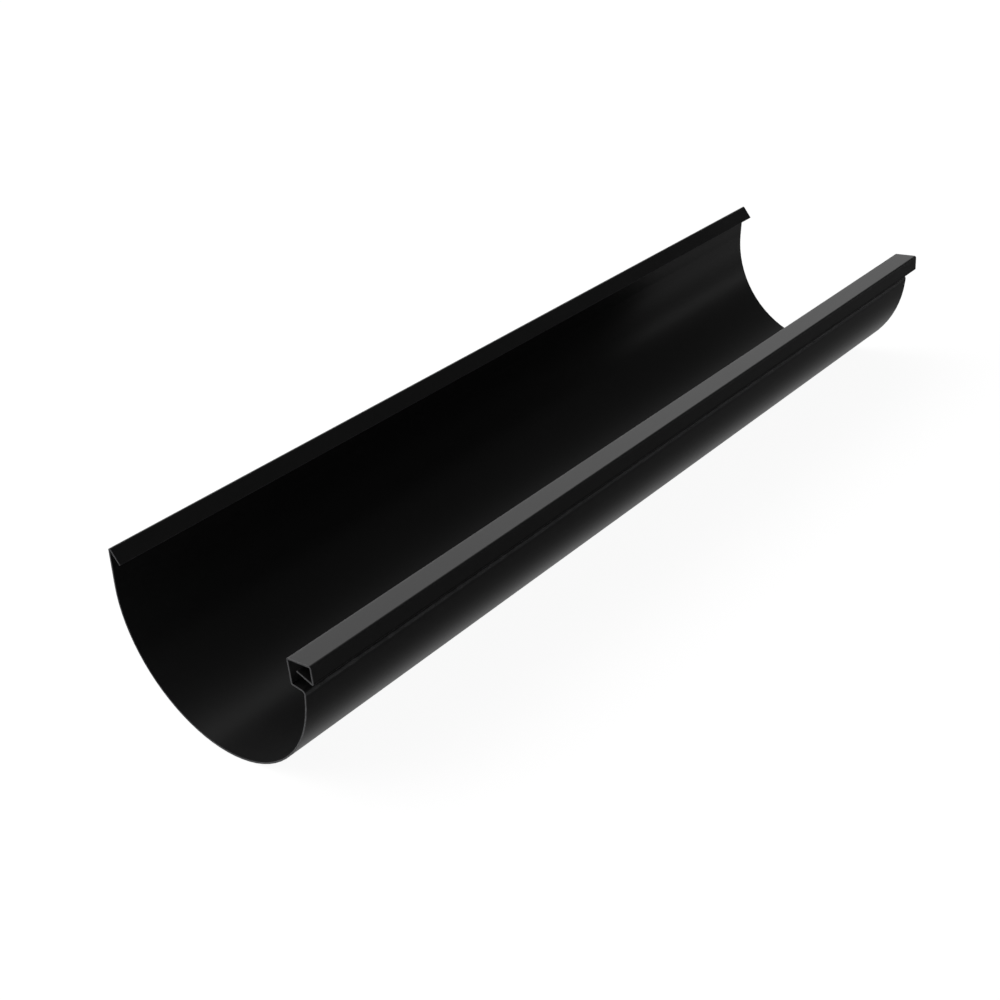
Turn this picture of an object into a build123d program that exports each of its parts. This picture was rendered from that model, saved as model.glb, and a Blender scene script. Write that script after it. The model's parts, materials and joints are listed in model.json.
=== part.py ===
from build123d import *
import os
from math import atan2, degrees

# Half-round gutter with a box bead, roll-formed as one piece from a strip of coated sheet.
# X runs along the gutter, the bead is at its front on the -Y side, and +Z is up.
# Sizes are in millimetres and degrees. Widths and heights of the folds are on the middle
# of the sheet, from corner to corner as if the corners were sharp.

length = 552.0
sheet = 0.8

# Inside radii of the bends
tight_bend = 0.2
bead_front_bend = 0.5
neck_bend = 1.2

# Half-round trough, from the inside of the sheet
trough_radius = 63.5

# Back edge: the wall goes straight up to the rim, and a lip turns in and down from there
rim_height = 21.7
lip_width = 10.0
lip_fall = 47.3

# Front edge: the wall turns in over a shoulder and goes round the bead, which is open below its hem
neck_height = 3.8
shoulder_width = 7.85
shoulder_rise = 2.5
bead_lean = 6.5
bead_back_height = 13.15
bead_top_width = 14.25
bead_top_rise = 9.5
bead_front_height = 9.2
hem_width = 10.0
hem_rise = 16.0

middle_radius = trough_radius + sheet / 2
tight = tight_bend + sheet / 2
bead_bends = [neck_bend + sheet / 2, tight, tight, bead_front_bend + sheet / 2, tight]


def step(start, distance, heading):
    """The corner at a distance from another one, with the heading measured up from +Y."""
    return start + Vector(distance, 0).rotate(Axis.Z, heading)


# Corners of the folded strip in the plane of the section, from the lip round to the hem
back_foot = Vector(middle_radius, 0)
rim = Vector(middle_radius, rim_height)
lip_end = step(rim, lip_width, 180 + lip_fall)
front_foot = Vector(-middle_radius, 0)
neck = Vector(-middle_radius, neck_height)
bead_back_foot = step(neck, shoulder_width, shoulder_rise)
bead_back_top = step(bead_back_foot, bead_back_height, 90 - bead_lean)
bead_front_top = step(bead_back_top, bead_top_width, 180 - bead_top_rise)
bead_front_foot = step(bead_front_top, bead_front_height, 270 - bead_lean)
hem_end = step(bead_front_foot, hem_width, hem_rise)
bead = [bead_back_foot, bead_back_top, bead_front_top, bead_front_foot]

# The middle line of the sheet, and the strip's thickness drawn along it with square cut ends
back_edge = FilletPolyline(lip_end, rim, back_foot, radius=tight)
trough = CenterArc((0, 0), middle_radius, 0, -180)
front_edge = FilletPolyline(front_foot, neck, *bead, hem_end, radius=bead_bends)
middle_line = Wire(back_edge.edges() + trough.edges() + front_edge.edges())
section = trace(middle_line, line_width=sheet)

# Unheld, the gutter rolls on its trough until its centre of mass is under the trough's centre
centroid = section.center()
rest_roll = degrees(atan2(-centroid.X, -centroid.Y))
gutter = extrude(Plane.YZ * section, length).rotate(Axis.X, rest_roll)

# The origin is the middle of the footprint, on the floor
box = gutter.bounding_box()
gutter = gutter.moved(Location((-box.center().X, -box.center().Y, -box.min.Z)))

os.makedirs("parts", exist_ok=True)
export_step(gutter, "parts/half_round_gutter.step")
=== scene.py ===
import json
from math import atan2, cos, radians, sin

import bpy
from mathutils import Matrix, Vector


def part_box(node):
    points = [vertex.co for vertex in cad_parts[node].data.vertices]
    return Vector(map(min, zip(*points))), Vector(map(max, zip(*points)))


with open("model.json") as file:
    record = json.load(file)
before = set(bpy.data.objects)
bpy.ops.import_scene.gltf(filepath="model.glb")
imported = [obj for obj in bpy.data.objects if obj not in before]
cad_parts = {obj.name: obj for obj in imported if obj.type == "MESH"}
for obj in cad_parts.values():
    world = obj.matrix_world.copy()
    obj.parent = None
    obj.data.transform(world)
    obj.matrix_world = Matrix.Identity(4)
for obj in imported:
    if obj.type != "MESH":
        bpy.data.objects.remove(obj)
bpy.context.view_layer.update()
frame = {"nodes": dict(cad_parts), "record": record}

# The gutter lies rolled towards its bead. The camera is set out in the level position, with the origin
# on the trough's axis at the near end, and lengths in outside radii of the trough
NODE = "half_round_gutter"
OUTSIDE_RADIUS = 0.0643
mounts = {mount["name"]: mount for mount in frame["record"]["mounts"]}
roll = atan2(mounts["back_wall"]["axis"][2], mounts["back_wall"]["axis"][1])
low, high = (Vector(corner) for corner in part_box(NODE))
half_length = (high.x - low.x) / 2
seat = Vector(mounts["bracket_seat"]["pos_m"])
near_end = Vector((low.x, seat.y, seat.z + OUTSIDE_RADIUS))
level = Matrix.Translation(near_end) @ Matrix.Rotation(roll, 4, "X") @ Matrix.Scale(OUTSIDE_RADIUS, 4)

CAMERA_PLACE = Vector((-4.8426, -6.6661, 6.2726))
CAMERA_YAW = radians(39.644)
CAMERA_PITCH = radians(32.704)
CAMERA_LENS = 52.502
CAMERA_SENSOR = 36.0
NEAREST_SEEN = 0.01

# Soft lights of the studio, in degrees round from +X and up from the floor: (brightness, round, up, focus)
SOFT_LIGHTS = [
    (4.0, 110, 33, 4.9),
    (1.12, 27, 35, 19.3),
]
SKY_FILL = 0.09

# How high the white backdrop reaches in the coating's gloss, as the sine of the angle above the horizon
BACKDROP_TOP = 0.04

# The floor: its half width, the white that the camera sees, the part of that white that takes the
# gutter's shadow, and the plain grey that bounces light on to the gutter
FLOOR_HALF = 12.0
FLOOR_WHITE = 1.04
FLOOR_SHADOW = 0.1
FLOOR_BOUNCE = 0.6

# The floor as the coating's gloss shows it: how far the gutter's own shade reaches, the level that is
# left close by, and the light that comes through under the trough, as its level, place and width
SHADE_REACH = 2.5
SHADE_LEVEL = 0.09
UNDER_LIGHT = 0.33
UNDER_PLACE = -0.029
UNDER_WIDTH = 0.02

# Lines along the gutter, as Y and Z in metres. The worn folds each also have the distances at which their
# lighter grey starts to fade and ends, and its strength: the first and last are paint worn along folds, and
# the second, along the neck under the bead, is a painted highlight where that bend catches the light
WORN_FOLDS_AND_HIGHLIGHT = [
    ((-0.05338, 0.06926), 0.0004, 0.0018, 0.4),
    ((-0.0602, 0.0529), 0.0004, 0.0014, 0.65),
    ((0.06129, 0.09935), 0.0002, 0.0012, 0.15),
]
# Along these lines, the foot of the bead and the top of the neck, the gloss is cut down: painted shade in
# the groove under the bead
DULL_LINES = [(-0.06665, 0.05935), (-0.0592, 0.0558)]
DULL_FROM = 0.0007
DULL_TO = 0.0018
DULL_GLOSS = 0.1
SLIT_EDGES = [(0.05626, 0.0907), (-0.05786, 0.06413)]
SLIT_FROM = 0.00042
SLIT_TO = 0.0006
SLIT_STRENGTH = 0.25
CUT_FROM = 0.0001
CUT_TO = 0.0003

COAT_BLACK = (0.0108, 0.0108, 0.011)
# Grey of the paint worn along folds, and of the painted highlight along the neck under the bead
WORN_AND_HIGHLIGHT_GREY = (0.075, 0.075, 0.077, 1)
CUT_GREY = (0.085, 0.085, 0.088)
COAT_GLOSS = 0.3
COAT_ROUGHNESS = 0.3
CLOUD_ROUGHER = 0.08
GRAIN_ROUGHER = 0.04
CUT_ROUGHER = 0.12
WORN_AND_HIGHLIGHT_SMOOTHER = 0.06
CLOUD_TINT = 0.5

# Features to the metre, and depths in metres
CLOUDS = 14.0
GRAIN = 900.0
WEAR_AND_HIGHLIGHT_RAGS = 260.0
CHIPS = 420.0
ROLLING_LINES = (3.0, 260.0, 260.0)
GRAIN_DEPTH = 0.000006
ROLLING_DEPTH = 0.00001
WEAR_AND_HIGHLIGHT_RAGGED = 0.0016
CHIPS_RAGGED = 0.0003


class Tree:
    """Short calls for making and linking the nodes of one material or world."""

    def __init__(self, owner):
        owner.use_nodes = True
        self.nodes, self.links = owner.node_tree.nodes, owner.node_tree.links
        self.nodes.clear()

    def node(self, kind, values=None, **settings):
        made = self.nodes.new(kind)
        for name, value in settings.items():
            setattr(made, name, value)
        for socket, value in (values or {}).items():
            if isinstance(value, bpy.types.NodeSocket):
                self.links.new(value, made.inputs[socket])
            else:
                made.inputs[socket].default_value = value
        return made

    def math(self, operation, a, b=0.0):
        return self.node("ShaderNodeMath", {0: a, 1: b}, operation=operation).outputs[0]

    def add(self, a, b):
        return self.math("ADD", a, b)

    def times(self, a, b):
        return self.math("MULTIPLY", a, b)

    def noise(self, place, scale, detail=2.0):
        """Noise centred on 0, at so many features to the metre."""
        made = self.node("ShaderNodeTexNoise", {"Vector": place, "Scale": scale, "Detail": detail})
        return self.math("SUBTRACT", made.outputs["Fac"], 0.5)

    def bell(self, value, middle, width):
        """1 at the middle, falling off smoothly to either side."""
        off = self.math("DIVIDE", self.math("SUBTRACT", value, middle), width)
        return self.math("EXPONENT", self.times(self.times(off, off), -1.0))

    def fade(self, value, start, stop, first, last):
        """A smooth change from first to last as the value goes from start to stop."""
        values = {"Value": value, "From Min": start, "From Max": stop, "To Min": first, "To Max": last}
        return self.node("ShaderNodeMapRange", values, interpolation_type="SMOOTHSTEP").outputs[0]

    def line_distance(self, y, z, line):
        """Distance from a line that runs along the gutter."""
        across = self.math("SUBTRACT", y, line[0])
        up = self.math("SUBTRACT", z, line[1])
        return self.math("SQRT", self.add(self.times(across, across), self.times(up, up)))

    def nearest_line(self, y, z, lines):
        near = self.line_distance(y, z, lines[0])
        for line in lines[1:]:
            near = self.math("MINIMUM", near, self.line_distance(y, z, line))
        return near

    def scaled(self, color, factor):
        return self.node("ShaderNodeVectorMath", {0: color, "Scale": factor}, operation="SCALE").outputs[0]

    def mix_color(self, factor, first, second):
        return self.node("ShaderNodeMixRGB", {0: factor, 1: first, 2: second}).outputs[0]

    def mix_shader(self, factor, first, second):
        return self.node("ShaderNodeMixShader", {0: factor, 1: first, 2: second}).outputs[0]

    def diffuse(self, grey):
        return self.node("ShaderNodeBsdfDiffuse", {"Color": (grey, grey, grey, 1)}).outputs[0]

    def rays(self):
        """Whether a ray comes from the camera, and whether it is a mirrored or refracted one."""
        ray = self.node("ShaderNodeLightPath").outputs
        return ray["Is Camera Ray"], self.add(ray["Is Glossy Ray"], ray["Is Transmission Ray"])


def add_camera():
    """The photograph's view: no roll against the level gutter, aimed along the yaw and down the pitch."""
    data = bpy.data.cameras.new("camera")
    data.lens = CAMERA_LENS
    data.sensor_width = CAMERA_SENSOR
    data.clip_start = NEAREST_SEEN
    camera = bpy.data.objects.new("camera", data)
    bpy.context.scene.collection.objects.link(camera)
    turned = Matrix.Rotation(CAMERA_YAW - radians(90), 3, "Z")
    tipped = Matrix.Rotation(radians(90) - CAMERA_PITCH, 3, "X")
    aim = Matrix.Rotation(roll, 3, "X") @ turned @ tipped
    camera.matrix_world = Matrix.Translation(level @ CAMERA_PLACE) @ aim.to_4x4()
    bpy.context.scene.camera = camera


def add_world():
    """A studio with large soft lights. The camera sees plain white, and gloss sees it along the horizon."""
    world = bpy.data.worlds.new("world")
    bpy.context.scene.world = world
    tree = Tree(world)
    direction = tree.node("ShaderNodeTexCoord").outputs["Generated"]
    total = SKY_FILL
    for brightness, around, up, focus in SOFT_LIGHTS:
        a, e = radians(around), radians(up)
        aim = (cos(e) * cos(a), cos(e) * sin(a), sin(e))
        facing = tree.node("ShaderNodeVectorMath", {0: direction, 1: aim}, operation="DOT_PRODUCT")
        short_of = tree.math("SUBTRACT", facing.outputs["Value"], 1.0)
        falloff = tree.math("EXPONENT", tree.times(short_of, focus))
        total = tree.add(tree.times(falloff, brightness), total)
    studio = tree.node("ShaderNodeBackground", {"Color": (1, 1, 1, 1), "Strength": total}).outputs[0]
    white = tree.node("ShaderNodeBackground", {"Color": (1, 1, 1, 1), "Strength": 1.0}).outputs[0]

    camera, mirrored = tree.rays()
    rise = tree.node("ShaderNodeSeparateXYZ", {0: direction}).outputs[2]
    backdrop = tree.times(mirrored, tree.fade(rise, 0.0, BACKDROP_TOP, 1.0, 0.0))
    seen = tree.math("MINIMUM", tree.add(camera, backdrop), 1.0)
    tree.node("ShaderNodeOutputWorld", {"Surface": tree.mix_shader(seen, studio, white)})


def white_floor():
    """White to the camera, with a faint shadow, and to gloss, with the gutter's shade in it."""
    material = bpy.data.materials.new("floor")
    tree = Tree(material)
    place = tree.node("ShaderNodeTexCoord").outputs["Object"]
    off = tree.node("ShaderNodeVectorMath", {0: place}, operation="LENGTH").outputs["Value"]
    y = tree.node("ShaderNodeSeparateXYZ", {0: place}).outputs[1]
    under = tree.times(tree.bell(y, UNDER_PLACE, UNDER_WIDTH), UNDER_LIGHT)
    drop = tree.math("SUBTRACT", under, 1.0 - SHADE_LEVEL)
    shaded = tree.add(tree.times(tree.bell(off, 0.0, SHADE_REACH), drop), 1.0)

    camera, mirrored = tree.rays()
    to_camera = tree.times(camera, FLOOR_WHITE - FLOOR_SHADOW)
    to_gloss = tree.times(tree.math("SUBTRACT", 1.0, camera), shaded)
    glow = tree.node("ShaderNodeEmission", {"Strength": tree.add(to_camera, to_gloss)}).outputs[0]
    shadow = tree.mix_shader(camera, tree.diffuse(0.0), tree.diffuse(FLOOR_SHADOW))
    white = tree.node("ShaderNodeAddShader", {0: glow, 1: shadow}).outputs[0]
    seen = tree.math("MINIMUM", tree.add(camera, mirrored), 1.0)
    surface = tree.mix_shader(seen, tree.diffuse(FLOOR_BOUNCE), white)
    tree.node("ShaderNodeOutputMaterial", {"Surface": surface})
    return material


def add_floor():
    corners = [(x, y, 0) for x, y in ((-1, -1), (1, -1), (1, 1), (-1, 1))]
    mesh = bpy.data.meshes.new("floor")
    mesh.from_pydata([Vector(corner) * FLOOR_HALF for corner in corners], [], [(0, 1, 2, 3)])
    mesh.materials.append(white_floor())
    floor = bpy.data.objects.new("floor", mesh)
    bpy.context.scene.collection.objects.link(floor)


def coated_sheet():
    """Satin black coating on rolled sheet, with paint worn along two folds and a painted highlight along
    the neck under the bead, and thin over the grey cut edges.
    """
    material = bpy.data.materials.new("coated_sheet")
    tree = Tree(material)
    place = tree.node("ShaderNodeTexCoord").outputs["Object"]
    x, y, z = tree.node("ShaderNodeSeparateXYZ", {0: place}).outputs

    cloud = tree.noise(place, CLOUDS, 3.0)
    grain = tree.noise(place, GRAIN)
    stretched = tree.node("ShaderNodeVectorMath", {0: place, 1: ROLLING_LINES}, operation="MULTIPLY")
    rolling = tree.noise(stretched.outputs[0], 1.0, 1.0)

    # Paint worn along two folds, and a painted highlight along the neck under the bead
    ragged = tree.times(tree.noise(place, WEAR_AND_HIGHLIGHT_RAGS, 4.0), WEAR_AND_HIGHLIGHT_RAGGED)
    worn_and_highlight = 0.0
    for line, start, stop, strength in WORN_FOLDS_AND_HIGHLIGHT:
        off = tree.add(tree.line_distance(y, z, line), ragged)
        worn_and_highlight = tree.math("MAXIMUM", worn_and_highlight, tree.fade(off, start, stop, strength, 0.0))

    chipped = tree.times(tree.noise(place, CHIPS, 4.0), CHIPS_RAGGED)
    from_end = tree.add(tree.math("SUBTRACT", half_length, tree.math("ABSOLUTE", x)), chipped)
    from_slit = tree.add(tree.nearest_line(y, z, SLIT_EDGES), chipped)
    end = tree.fade(from_end, CUT_FROM, CUT_TO, 1.0, 0.0)
    slit = tree.fade(from_slit, SLIT_FROM, SLIT_TO, SLIT_STRENGTH, 0.0)
    cut = tree.math("MAXIMUM", end, slit)

    coat = tree.scaled(COAT_BLACK, tree.add(tree.times(cloud, CLOUD_TINT), 1.0))
    metal = tree.scaled(CUT_GREY, tree.add(grain, 1.0))
    # The lighter grey along the folds is partly worn paint and partly a painted highlight on the neck
    color = tree.mix_color(cut, tree.mix_color(worn_and_highlight, coat, WORN_AND_HIGHLIGHT_GREY), metal)

    rough = tree.add(tree.times(cloud, CLOUD_ROUGHER), COAT_ROUGHNESS)
    rough = tree.add(rough, tree.times(grain, GRAIN_ROUGHER))
    rough = tree.add(rough, tree.times(cut, CUT_ROUGHER))
    rough = tree.math("SUBTRACT", rough, tree.times(worn_and_highlight, WORN_AND_HIGHLIGHT_SMOOTHER))
    # Less gloss in the groove under the bead, as painted shade
    dull = tree.fade(tree.nearest_line(y, z, DULL_LINES), DULL_FROM, DULL_TO, DULL_GLOSS, 1.0)
    gloss = tree.times(dull, COAT_GLOSS)
    height = tree.add(tree.times(grain, GRAIN_DEPTH), tree.times(rolling, ROLLING_DEPTH))
    bump = tree.node("ShaderNodeBump", {"Height": height, "Strength": 1.0, "Distance": 1.0}).outputs[0]
    values = {"Base Color": color, "Roughness": rough, "Normal": bump, "Specular IOR Level": gloss}
    shader = tree.node("ShaderNodeBsdfPrincipled", values)
    tree.node("ShaderNodeOutputMaterial", {"Surface": shader.outputs["BSDF"]})
    return material


add_camera()
add_world()
add_floor()
gutter = frame["nodes"][NODE]
gutter.data.materials.clear()
gutter.data.materials.append(coated_sheet())

bpy.context.scene.view_settings.view_transform = "Standard"
